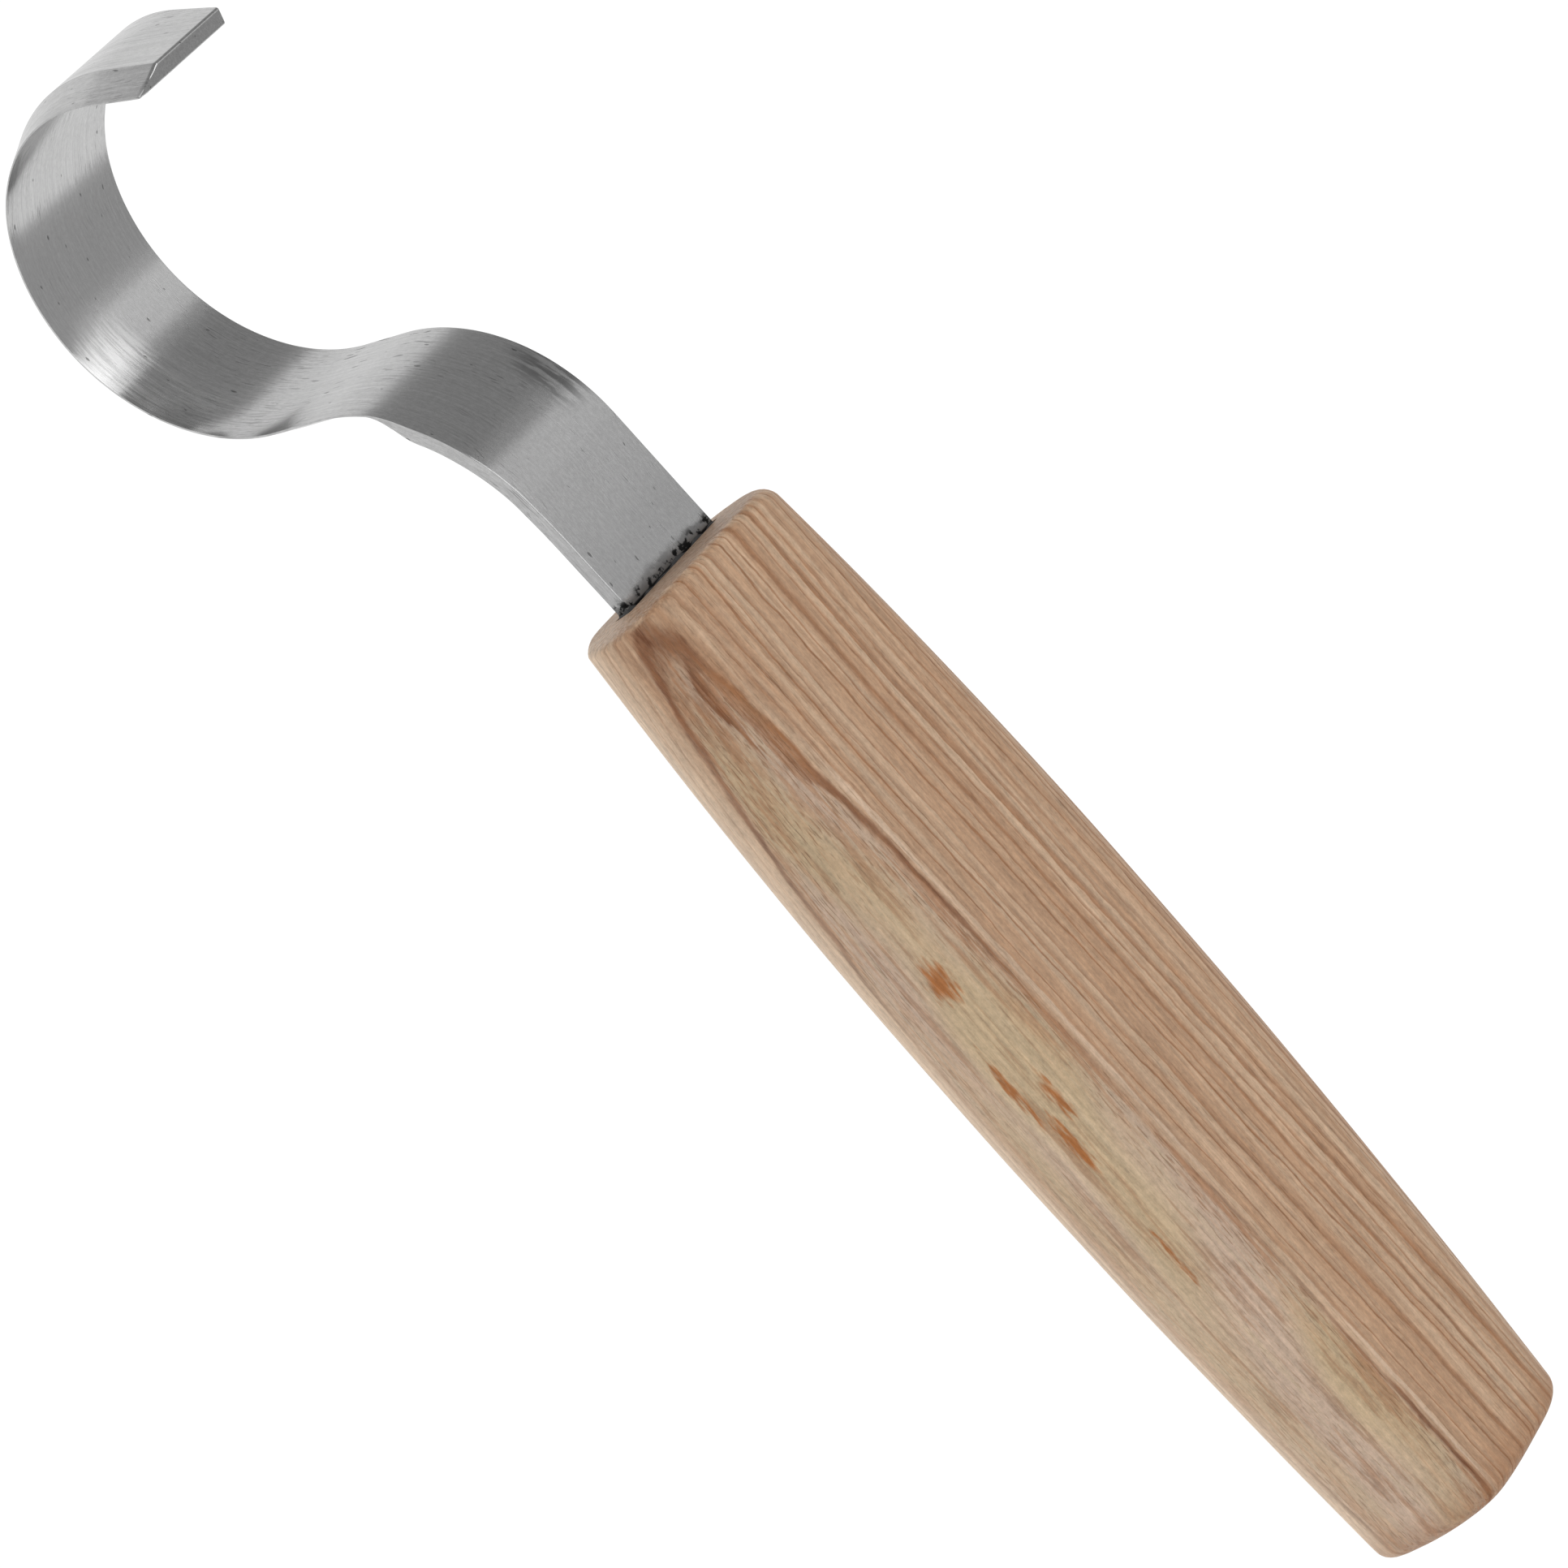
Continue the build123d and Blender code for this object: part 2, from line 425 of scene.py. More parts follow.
def mouth_rim_ring(angle):
    """A ring of the rounding at the mouth, from angle 0 beside the flats to a quarter turn on the end."""
    ring = board_ring(-MOUTH_RIM_RADIUS, handle_half_width(0.0), HALF_THICKNESS, LONG_EDGE_RADIUS)
    for point in ring:
        crispness = smooth_step(-point[2], -12.0, -3.0)
        radius = MOUTH_RIM_RADIUS + (MOUTH_RIM_CRISP - MOUTH_RIM_RADIUS) * crispness
        reach = math.hypot(point[1], point[2])
        flare = (handle_half_width(-radius) - handle_half_width(0.0)) * math.cos(angle)
        point[1:] *= 1 - radius * (1 - math.cos(angle)) / reach
        point[2] += math.copysign(flare, point[2])
        set_back = MOUTH_SET_BACK * smooth_step(-point[2], 7.0, 12.0)
        point[0] = -radius * (1 - math.sin(angle)) - set_back * math.sin(angle)
    return ring


def butt_rim_ring(angle):
    """A ring of the rounding at the butt, from angle 0 beside the flats to a quarter turn on the end."""
    ring = board_ring(-HANDLE_LENGTH, BUTT_HALF_WIDTH, HALF_THICKNESS, LONG_EDGE_RADIUS)
    for point in ring:
        crispness = smooth_step(point[2], 2.0, 10.0)
        radius = BUTT_RIM_RADIUS + (BUTT_RIM_CRISP - BUTT_RIM_RADIUS) * crispness
        reach = math.hypot(point[1], point[2])
        u = -HANDLE_LENGTH + radius * (1 - math.sin(angle))
        swell = (handle_half_width(u) - BUTT_HALF_WIDTH) * point[2] / BUTT_HALF_WIDTH
        point[0] = u + butt_shift(point[2], BUTT_HALF_WIDTH)
        point[1:] *= 1 - radius * (1 - math.cos(angle)) / reach
        point[2] += swell
    return ring


def butt_cap_ring(share):
    """A ring on the butt's end face, with share 0 at its middle and 1 at its rim."""
    ring = butt_rim_ring(math.pi / 2)
    ring[:, 1:] *= share
    ring[:, 0] = -HANDLE_LENGTH + butt_shift(ring[:, 2], BUTT_HALF_WIDTH)
    return ring


def body_ring(share):
    """A ring of the handle's body, with share 0 at the butt's rim and 1 at the mouth's."""
    u = BODY_START + (BODY_END - BODY_START) * share
    half_w = handle_half_width(u)
    ring = board_ring(u, half_w, HALF_THICKNESS, LONG_EDGE_RADIUS)
    ring[:, 0] += butt_shift(ring[:, 2], half_w) * butt_share(u)
    return ring


def make_handle():
    """The handle from the middle of the butt, over the body and the mouth, to the bottom of the slot."""
    quarter = math.pi / 2
    rings = [butt_cap_ring(step / CAP_STEPS) for step in range(1, CAP_STEPS)]
    rings += [butt_rim_ring(quarter * step / RIM_STEPS) for step in range(RIM_STEPS, -1, -1)]
    rings += [body_ring(step / BODY_STEPS) for step in range(1, BODY_STEPS)]
    rings += [mouth_rim_ring(quarter * step / RIM_STEPS) for step in range(RIM_STEPS + 1)]
    rings = [sanded(ring) for ring in rings]
    mouth_ring = rings[-1]
    slot = slot_ring(0.0, SLOT_CLEARANCE)
    for step in range(1, FACE_STEPS):
        share = step / FACE_STEPS
        rings.append(mouth_ring * (1 - share) + slot * share)
    rings += [slot_ring(-depth, SLOT_CLEARANCE) for depth in SLOT_RINGS]
    return skin("ash_handle", rings, sharp_angle=40.0)


def slot_ring(u, clearance, round_by=0.3):
    """A ring round the strip where it enters the handle, standing off it by clearance."""
    half_w = (SPINE_AT_MOUTH + EDGE_AT_MOUTH) / 2 + clearance
    half_v = THICKNESS / 2 + clearance
    ring = board_ring(u, half_w, half_v, round_by)
    ring[:, 1] += FACE_V - THICKNESS / 2
    ring[:, 2] += (SPINE_AT_MOUTH - EDGE_AT_MOUTH) / 2
    return ring


# Epoxy


def glue_ring(share, wall):
    """A ring of the glue's open surface, from share 0 at the wood to 1 at the steel."""
    ring = slot_ring(0.0, wall * (1 - share) + GLUE_GAP)
    for point in ring:
        speckle = uneven(point[2] * 0.6, point[1] * 2.5, 5.0)
        fine = uneven(point[2] * 2.2, point[1] * 7.0, 1.0)
        climb = (0.35 + 0.6 * speckle + 0.12 * fine) * share**2.2
        pit = 0.5 * smooth_step(speckle + 0.4 * fine, 0.25, 0.6) * math.sin(math.pi * share)
        point[0] = -EPOXY_RECESS - 0.1 * (1 + fine) + climb - pit
    return ring


def make_epoxy():
    """The glue round the tang: a plug in the slot, creeping up the steel and pitted where it shows."""
    wall = SLOT_CLEARANCE - WALL_GAP
    rings = [slot_ring(u, wall) for u in (-SLOT_DEPTH + 0.05, -10.0, -1.0)]
    rings += [glue_ring(step / GLUE_STEPS, wall) for step in range(GLUE_STEPS + 1)]
    rings += [slot_ring(u, GLUE_GAP) for u in (-1.0, -TANG_TAPER_START)]
    bottom = slot_ring(-TANG_LENGTH - 0.02, GLUE_GAP)
    bottom[:, 2] *= TANG_HALF_WIDTH / SPINE_AT_MOUTH
    rings.append(bottom)
    return skin("epoxy_fill", rings, sharp_angle=60.0)


# ---------------------------------------------------------------- materials


def srgb(red, green, blue):
    """A colour given as 0 to 255 sRGB, as the linear colour that nodes use."""
    linear = []
    for value in (red, green, blue):
        value /= 255
        linear.append(value / 12.92 if value <= 0.04045 else ((value + 0.055) / 1.055) ** 2.4)
    return (*linear, 1.0)


def grey(level):
    """A linear grey."""
    return (level, level, level, 1.0)


class Nodes:
    """Adds nodes to a node tree. A value is a number, a colour or another node's output."""

    def __init__(self, tree):
        self.tree = tree

    def add(self, kind):
        return self.tree.nodes.new(kind)

    def link(self, source, target):
        self.tree.links.new(source, target)

    def put(self, socket, value):
        """A number or colour is set on the socket; another node's output is linked to it."""
        if isinstance(value, bpy.types.NodeSocket):
            self.link(value, socket)
        else:
            socket.default_value = value

    def math(self, operation, a, b=0.0):
        node = self.add("ShaderNodeMath")
        node.operation = operation
        self.put(node.inputs[0], a)
        self.put(node.inputs[1], b)
        return node.outputs[0]

    def total(self, first, *others):
        for value in others:
            first = self.math("ADD", first, value)
        return first

    def product(self, first, *others):
        for value in others:
            first = self.math("MULTIPLY", first, value)
        return first

    def larger(self, a, b):
        return self.math("MAXIMUM", a, b)

    def centred(self, value, amount):
        """A value from 0 to 1, moved to lie evenly about 0 and scaled by an amount."""
        return self.product(self.math("SUBTRACT", value, 0.5), amount)

    def step(self, value, low, high, out_low=0.0, out_high=1.0):
        """A smooth ramp from out_low to out_high as value goes from low to high."""
        node = self.add("ShaderNodeMapRange")
        node.interpolation_type = "SMOOTHSTEP"
        self.put(node.inputs["Value"], value)
        limits = {"From Min": low, "From Max": high, "To Min": out_low, "To Max": out_high}
        for socket, number in limits.items():
            self.put(node.inputs[socket], number)
        return node.outputs["Result"]

    def zone(self, value, limits):
        """1 between the inner two of four limits, running out to 0 at the outer two."""
        start, full, still_full, end = limits
        return self.product(self.step(value, start, full), self.step(value, still_full, end, 1.0, 0.0))

    def vector_math(self, operation, *vectors):
        node = self.add("ShaderNodeVectorMath")
        node.operation = operation
        for socket, vector in zip(node.inputs, vectors):
            self.put(socket, vector)
        return node.outputs

    def parts(self, vector):
        node = self.add("ShaderNodeSeparateXYZ")
        self.put(node.inputs[0], vector)
        return node.outputs[0], node.outputs[1], node.outputs[2]

    def joined(self, x, y, z=0.0):
        node = self.add("ShaderNodeCombineXYZ")
        for socket, value in zip(node.inputs, (x, y, z)):
            self.put(socket, value)
        return node.outputs[0]

    def mix(self, share, a, b):
        node = self.add("ShaderNodeMix")
        node.data_type = "RGBA"
        self.put(node.inputs[0], share)
        self.put(node.inputs[6], a)
        self.put(node.inputs[7], b)
        return node.outputs[2]

    def layered(self, colour, *layers):
        """A colour under layers, each given as its share and its own colour."""
        for share, layer in layers:
            colour = self.mix(share, colour, layer)
        return colour


class Shader(Nodes):
    """A material whose patterns follow the attribute "place" of its mesh, in millimetres."""

    def __init__(self, name):
        self.material = bpy.data.materials.new(name)
        self.material.use_nodes = True
        super().__init__(self.material.node_tree)
        self.tree.nodes.clear()
        self.surface = self.add("ShaderNodeBsdfPrincipled")
        output = self.add("ShaderNodeOutputMaterial")
        self.link(self.surface.outputs["BSDF"], output.inputs["Surface"])
        place = self.add("ShaderNodeAttribute")
        place.attribute_name = "place"
        self.place = place.outputs["Vector"]

    def stretch(self, scale, shift=(0.0, 0.0, 0.0), vector=None):
        """A place, or another vector, scaled along each axis and then shifted."""
        return self.vector_math("MULTIPLY_ADD", self.place if vector is None else vector, scale, shift)[0]

    def noise(self, scale, shift=(0.0, 0.0, 0.0), detail=2.0, roughness=0.5, vector=None):
        """Noise from 0 to 1 with its own scale along each axis, in cycles per millimetre."""
        node = self.add("ShaderNodeTexNoise")
        self.link(self.stretch(scale, shift, vector), node.inputs["Vector"])
        node.inputs["Scale"].default_value = 1.0
        node.inputs["Detail"].default_value = detail
        node.inputs["Roughness"].default_value = roughness
        return node.outputs["Fac"]

    def bump(self, height, distance, strength=1.0, normal=None, hollow=False):
        """Relief of a height in metres; hollow turns the high places into hollows."""
        node = self.add("ShaderNodeBump")
        node.invert = hollow
        node.inputs["Strength"].default_value = strength
        node.inputs["Distance"].default_value = distance
        self.put(node.inputs["Height"], height)
        if normal is not None:
            self.link(normal, node.inputs["Normal"])
        return node.outputs["Normal"]


# Steel. Its zones are given along the strip, from the mouth: start, full, still full and end.
THROAT = (29.0, 33.0, 42.0, 50.0)
REWORKED = (46.0, 52.0, 60.0, 67.0)
POLISHED = (55.0, 66.0, 76.0, 86.0)
SMUDGED = (15.0, 18.0, 21.0, 26.0)
SHADED_NEAR_HANDLE = 13.0

LIGHT_STEEL = grey(0.54)
MID_STEEL = grey(0.43)
CLOUDED_STEEL = (0.36, 0.355, 0.35, 1.0)
GRAIN_STEEL = grey(0.30)
SHADED_STEEL = grey(0.22)
SCRATCHED_STEEL = grey(0.20)
POLISHED_STEEL = grey(0.75)
# painted highlight: a light grey that lightens the sanded patch by the edge
SANDED_HIGHLIGHT_STEEL = grey(0.85)
SMUDGE = grey(0.14)
DARK_BAND_STEEL = grey(0.10)
PIT = grey(0.10)
# painted shade: near black for the gaps at the handle's mouth
GAP_SHADE = grey(0.006)


def steel_brushing(s):
    """Fine lines along the strip."""
    hair = s.noise((0.11, 6.5, 6.5), detail=3.0, roughness=0.65)
    lines = s.noise((0.045, 3.2, 3.2), shift=(3.0, 1.0, 0.0), detail=3.0, roughness=0.65)
    return s.total(s.product(hair, 0.55), s.product(lines, 0.45))


def steel_scratches(s, distance, across, depth):
    """Short scratches that wander a little from the brushing."""
    wander = s.noise((0.05, 0.1, 0.1), shift=(0.0, 7.0, 0.0))
    bent = s.joined(distance, s.total(across, s.product(wander, 5.0)), depth)
    field = s.noise((0.45, 7.0, 7.0), shift=(2.0, 2.0, 0.0), detail=1.0, vector=bent)
    gathered = s.noise((0.09, 0.16, 0.2), shift=(31.0, 3.0, 0.0), detail=1.0)
    return s.product(s.step(field, 0.62, 0.70), s.step(gathered, 0.42, 0.62))


def steel_pits(s, distance, across):
    """Small pits all over, and longer nicks in the throat, most of them towards the spine."""
    pits = s.step(s.noise((0.9, 2.2, 2.2), shift=(5.0, 0.0, 4.0), detail=0.0), 0.80, 0.84)
    nicks = s.step(s.noise((0.35, 1.7, 1.7), shift=(8.0, 1.0, 4.0), detail=1.0), 0.66, 0.70)
    return s.larger(pits, s.product(nicks, s.zone(distance, THROAT), s.step(across, -6.0, 5.0, 0.2, 1.0)))


def steel_reworked(s, distance, across):
    """The patch by the edge at the bottom of the hook: its coarse sanding, which is also lightened in colour
    as a painted highlight, and how far it is rolled over.
    """
    patch = s.zone(distance, REWORKED)
    sanding_and_highlight = s.step(s.noise((0.22, 3.4, 3.4), shift=(6.0, 6.0, 0.0), detail=3.0), 0.40, 0.62)
    sanding_and_highlight = s.product(sanding_and_highlight, patch, s.step(across, -4.5, -1.0, 1.0, 0.0))
    rolled = s.larger(s.math("SUBTRACT", s.product(across, -1 / 6.6), 0.25), 0.0)
    return sanding_and_highlight, s.product(rolled, rolled, patch)


def steel_smudge(s, distance, across):
    """Dark strokes by the spine where the dip starts."""
    strokes = s.noise((0.20, 1.3, 1.3), shift=(2.0, 6.0, 1.0), detail=3.0, roughness=0.6)
    return s.product(s.zone(distance, SMUDGED), s.step(across, 2.0, 5.5), s.step(strokes, 0.42, 0.58))


def steel_at_mouth(s, distance):
    """A darker, duller ragged band beside the handle, and painted shade of the gaps at the handle's mouth: a
    black band with blobs.
    """
    ragged = s.noise((0.30, 0.24, 0.24), shift=(0.0, 4.4, 0.0), detail=5.0, roughness=0.55)
    dark_band = s.step(s.total(distance, s.product(ragged, 5.0)), 3.2, 4.3, 1.0, 0.0)
    blobs = s.noise((0.9, 0.75, 0.75), shift=(3.0, 2.2, 0.0), detail=4.0, roughness=0.6)
    # painted shade: black blobs and a black band where the gaps at the mouth are in shade
    grime = s.product(s.step(blobs, 0.52, 0.60), s.step(distance, 0.7, 1.5, 1.0, 0.0))
    return dark_band, s.larger(grime, s.step(distance, 0.12, 0.3, 1.0, 0.0))


def steel_material():
    """Brushed steel: fine lines along the strip, a few longer scratches, small pits and dull smears, with
    painted shade near the handle's mouth and a painted highlight on the sanded patch by the edge.
    """
    s = Shader("brushed_steel")
    distance, across, depth = s.parts(s.place)
    brushing = steel_brushing(s)
    scratches = steel_scratches(s, distance, across, depth)
    pits = steel_pits(s, distance, across)
    sanding_and_highlight, rolled = steel_reworked(s, distance, across)
    smudge = steel_smudge(s, distance, across)
    dark_band, grime = steel_at_mouth(s, distance)
    cloud = s.noise((0.10, 0.22, 0.3), shift=(9.0, 4.0, 2.0), detail=2.0)
    grain = s.noise((1.6, 3.2, 3.2), shift=(1.0, 1.0, 8.0), detail=3.0, roughness=0.8)

    tone = s.layered(
        s.mix(s.step(brushing, 0.33, 0.67), MID_STEEL, LIGHT_STEEL),
        (s.step(grain, 0.38, 0.62, 0.34, 0.0), GRAIN_STEEL),
        (s.product(cloud, 0.3), CLOUDED_STEEL),
        (s.step(distance, 0.0, SHADED_NEAR_HANDLE, 0.28, 0.0), SHADED_STEEL),
        (s.product(scratches, 0.7), SCRATCHED_STEEL),
        (s.product(s.zone(distance, POLISHED), 0.25), POLISHED_STEEL),
        # painted highlight: the sanded patch is lightened to stand for the reflection it shows
        (s.product(sanding_and_highlight, 0.3), SANDED_HIGHLIGHT_STEEL),
        (s.product(pits, 0.75), PIT),
        (s.product(smudge, 0.75), SMUDGE),
        (s.product(dark_band, 0.75), DARK_BAND_STEEL),
        # painted shade at the handle's mouth
        (s.product(grime, 0.95), GAP_SHADE),
    )
    s.put(s.surface.inputs["Base Color"], tone)
    s.surface.inputs["Metallic"].default_value = 1.0
    dull = (s.product(dark_band, 0.15), s.product(grime, 0.3), s.product(sanding_and_highlight, 0.10))
    s.put(s.surface.inputs["Roughness"], s.total(s.step(brushing, 0.3, 0.7, 0.23, 0.17), *dull))
    s.surface.inputs["Anisotropic"].default_value = 0.9
    tangent = s.add("ShaderNodeTangent")
    tangent.direction_type = "UV_MAP"
    tangent.uv_map = "across_strip"
    s.link(tangent.outputs[0], s.surface.inputs["Tangent"])
    normal = s.bump(brushing, 0.004 * MM, 0.5)
    normal = s.bump(s.total(scratches, pits), 0.01 * MM, 0.5, normal, hollow=True)
    normal = s.bump(rolled, 0.5 * MM, 1.0, normal, hollow=True)
    s.link(normal, s.surface.inputs["Normal"])
    return s.material


# Ash figure. The growth rings are sheets, nearly square to the flat faces and a little out of line with the
# handle. A sheet's offset is its distance from the dark ring, towards the spine, in millimetres.
RING_TILT = -0.38
RING_RUN_OUT = 0.034
RING_BEND = 0.02
RING_FLARE = -0.045
RING_FLARE_START = -20.0
RING_SPACING = 1.35
DARK_RING = -13.5  # w of the dark ring where it leaves the handle's axis

# Zones across the rings, as offsets: start, full, still full and end
PORES_INSIDE = (-3.2, -0.4, 0.0, 0.2)
PALE_BESIDE = (0.42, 0.62, 0.9, 1.35)
# Zone along u where the dark ring smears inwards
SMEARED = (-24.0, -17.0, -11.0, -5.0)

PALE_ASH = srgb(199, 169, 141)
WARM_ASH = srgb(185, 149, 119)
BROWN_LINE = srgb(154, 108, 74)
DARK_LINE = srgb(112, 62, 28)
RUSTY_LINE = srgb(142, 84, 34)
PALE_LINE = srgb(218, 194, 170)
OLIVE_ASH = srgb(197, 173, 140)
ROSY_ASH = srgb(199, 174, 153)
LIGHT_STREAK = srgb(206, 184, 154)
MOUTH_STAIN = srgb(158, 117, 86)
PORE = srgb(140, 100, 68)
# partly pale sapwood, partly painted light from the floor below
SAPWOOD_AND_FLOOR_LIGHT = srgb(222, 202, 178)
# partly painted light: end grain lightened for the dim light on the cut ends
CUT_ASH_PAINTED_LIGHT = srgb(216, 198, 182)
RUST = srgb(166, 98, 40)

# Rust-coloured marks in the wood: centre and half lengths along u, v and w
RUST_MARKS = (
    ((-42.0, 4.3, -13.5), (2.4, 1.3, 1.1)),
    ((-53.5, 2.9, -14.2), (4.5, 0.5, 0.6)),
    ((-56.5, 5.2, -12.8), (3.0, 0.6, 0.6)),
    ((-60.5, 3.9, -13.8), (3.5, 0.6, 0.7)),
    ((-74.0, 3.7, -13.4), (3.8, 0.4, 0.5)),
)


class AshFigure(Shader):
    """The ash's look, in parts. Each layer is a share and a colour, to be laid over the wood below it."""

    def __init__(self, name):
        super().__init__(name)
        self.u, self.v, self.w = self.parts(self.place)
        self.sheet = self.ring_sheet()
        self.lines = self.ring_lines()
        # fibres and pores run along the handle
        self.fibre = self.noise((0.09, 2.1, 2.1), shift=(2.0, 0.0, 7.0), detail=4.0, roughness=0.7)
        self.strand = self.noise((0.016, 0.9, 0.9), shift=(8.0, 3.0, 1.0), detail=2.0)
        self.streaks = self.noise((0.05, 1.1, 1.1), shift=(3.0, 8.0, 5.0), detail=4.0, roughness=0.65)
        self.patch = self.noise((0.03, 0.16, 0.16), shift=(12.0, 6.0, 3.0), detail=1.0)
        self.inside = self.step(self.sheet, -0.1, -0.8)
        self.porous = self.zone(self.sheet, PORES_INSIDE)
        self.pores = self.pore_holes()

    def ring_sheet(self):
        """Offset of the growth ring through each place, with a loop of the dark ring at the mouth."""
        wobble = self.noise((0.022, 0.06, 0.06), shift=(4.0, 2.0, 6.0), detail=1.0)
        tremble = self.noise((0.22, 0.7, 0.7), shift=(1.0, 5.0, 2.0), detail=3.0, roughness=0.6)
        below_flat = self.math("SUBTRACT", self.v, HALF_THICKNESS)
        near_mouth = self.larger(self.total(self.u, -RING_FLARE_START), 0.0)
        return self.total(
            self.w,
            self.product(self.v, RING_TILT),
            self.product(self.u, RING_RUN_OUT),
            -DARK_RING,
            self.product(below_flat, below_flat, RING_BEND),
            self.product(near_mouth, RING_FLARE),
            self.centred(wobble, 1.1),
            self.centred(tremble, 0.75),
        )

    def ring_lines(self):
        """Brown lines of early wood: rings of uneven width, each with its own depth of colour."""
        along = self.joined(self.product(self.sheet, 0.55), self.product(self.u, 0.004))
        width = self.noise((1.0, 1.0, 1.0), detail=1.0, vector=along)
        count = self.math("DIVIDE", self.total(self.sheet, self.centred(width, 2.6)), RING_SPACING)
        band = self.math("FRACT", count)
        year = self.add("ShaderNodeTexWhiteNoise")
        year.noise_dimensions = "1D"
        self.put(year.inputs["W"], self.math("FLOOR", count))
        vigour = self.step(year.outputs["Value"], 0.0, 1.0, 0.40, 1.0)
        early = self.total(self.step(band, 0.02, 0.34, 1.0, 0.0), self.step(band, 0.90, 1.0))
        return self.product(early, vigour, self.step(self.sheet, 0.35, 0.9))

    def pore_holes(self):
        """Pores, thickest in the ring lines, inside the dark ring and near the mouth."""
        field = self.noise((0.42, 5.5, 5.5), shift=(6.0, 1.0, 3.0), detail=1.0)
        near_mouth = self.product(self.inside, self.step(self.u, -40.0, -12.0, 0.0, 0.8))
        patchy = self.step(self.patch, 0.42, 0.65, 0.15, 0.6)
        amount = self.total(self.product(self.lines, 0.6), self.porous, near_mouth, patchy)
        return self.product(self.step(field, 0.57, 0.68), self.math("MINIMUM", amount, 1.0))

    def olive_layer(self):
        """Inside the dark ring the surface runs along a single wide ring: olive, rosy and brown by turns."""
        olive = self.layered(
            self.mix(self.step(self.patch, 0.38, 0.62), OLIVE_ASH, ROSY_ASH),
            (self.step(self.streaks, 0.50, 0.64, 0.0, 0.5), BROWN_LINE),
            (self.step(self.streaks, 0.34, 0.46, 0.45, 0.0), LIGHT_STREAK),
        )
        return self.inside, olive

    def stain_layer(self):
        """The wood round the dark ring's loop at the mouth is stained brown."""
        along = self.step(self.u, -22.0, -7.0)
        across = self.product(self.step(self.w, -9.5, -4.0, 1.0, 0.0), self.step(self.v, -3.0, 1.5))
        return self.product(along, across, self.step(self.streaks, 0.38, 0.6, 0.12, 0.55)), MOUTH_STAIN

    def porous_layer(self):
        """The dark ring fades into brown pores on its inner side."""
        return self.product(self.porous, self.step(self.fibre, 0.46, 0.58, 0.10, 0.70)), BROWN_LINE

    def pale_layer(self):
        """A pale line runs beside the dark ring, on the spine's side."""
        along = self.step(self.u, -14.0, -24.0, 0.0, 0.6)
        broken = self.step(self.strand, 0.42, 0.60, 0.05, 1.0)
        return self.product(self.zone(self.sheet, PALE_BESIDE), along, broken), PALE_LINE

    def dark_layer(self):
        """The dark ring: broken along its length, and smeared inwards and rusty near the mouth."""
        smeared = self.product(self.zone(self.u, SMEARED), self.step(self.w, -12.8, -11.0))
        spread = self.product(smeared, self.step(self.streaks, 0.36, 0.60, 0.3, 2.0))
        ring = self.step(self.total(self.sheet, spread), -0.38, -0.08)
        ring = self.product(ring, self.step(self.sheet, 0.08, 0.38, 1.0, 0.0))
        clear = self.larger(self.step(self.u, -52.0, -36.0), self.step(self.u, -100.0, -92.0, 1.0, 0.0))
        broken = self.noise((0.06, 0.5, 0.5), shift=(7.0, 0.0, 0.0), detail=3.0)
        depth = self.product(clear, self.step(broken, 0.25, 0.6, 0.6, 1.0))
        depth = self.larger(self.step(broken, 0.32, 0.60, 0.0, 0.6), depth)
        beside = self.product(smeared, self.step(self.sheet, 0.05, -0.35))
        thinned = self.product(beside, self.step(self.fibre, 0.40, 0.56, 0.15, 0.85))
        streaky = self.step(self.fibre, 0.36, 0.56, 1.0, 0.72)
        streaky = self.product(streaky, self.math("SUBTRACT", 1.0, thinned))
        return self.product(ring, depth, streaky), self.mix(smeared, DARK_LINE, RUSTY_LINE)

    def rust_layers(self):
        """Rust marks with ragged ends."""
        ragged = self.noise((0.5, 3.0, 3.0), shift=(0.0, 9.0, 0.0), detail=2.0)
        for centre, reach in RUST_MARKS:
            scale = tuple(1 / r for r in reach)
            shift = tuple(-c / r for c, r in zip(centre, reach))
            length = self.vector_math("LENGTH", self.stretch(scale, shift))["Value"]
            near = self.total(length, self.centred(ragged, 2.2))
            yield self.step(near, 0.3, 1.2, 0.9, 0.0), RUST

    def sapwood_and_floor_light_layer(self):
        """The lower side is paler: partly pale sapwood along the lower edge, partly painted light from the
        bright floor below.
        """
        lower = self.step(self.v, -5.0, 1.5, 0.65, 0.0)
        # painted light: the whole lower side is lightened, beyond the sapwood at its edge
        return self.product(lower, self.step(self.w, -12.0, -6.0, 1.0, 0.3)), SAPWOOD_AND_FLOOR_LIGHT

    def cut_layers(self):
        """Cut across the fibres, at the mouth and the butt, the wood is greyer, and its pale colour there is
        partly painted light, lightened beyond the end grain's own tone; the butt is browner too.
        """
        normal = self.add("ShaderNodeNewGeometry").outputs["True Normal"]
        facing = self.vector_math("DOT_PRODUCT", normal, tuple(U_AXIS))["Value"]
        cut = self.step(self.math("ABSOLUTE", facing), 0.80, 0.98)
        cut_pores = self.noise((2.0, 1.6, 3.0), shift=(1.0, 4.0, 9.0), detail=3.0, roughness=0.75)
        # painted light: the cut ends are lightened beyond their own grey
        yield self.product(cut, self.step(cut_pores, 0.35, 0.6, 0.5, 0.1)), CUT_ASH_PAINTED_LIGHT
        yield self.product(cut, self.step(cut_pores, 0.52, 0.64, 0.0, 0.40)), BROWN_LINE
        yield self.step(self.u, -106.0, -110.5, 0.0, 0.45), BROWN_LINE


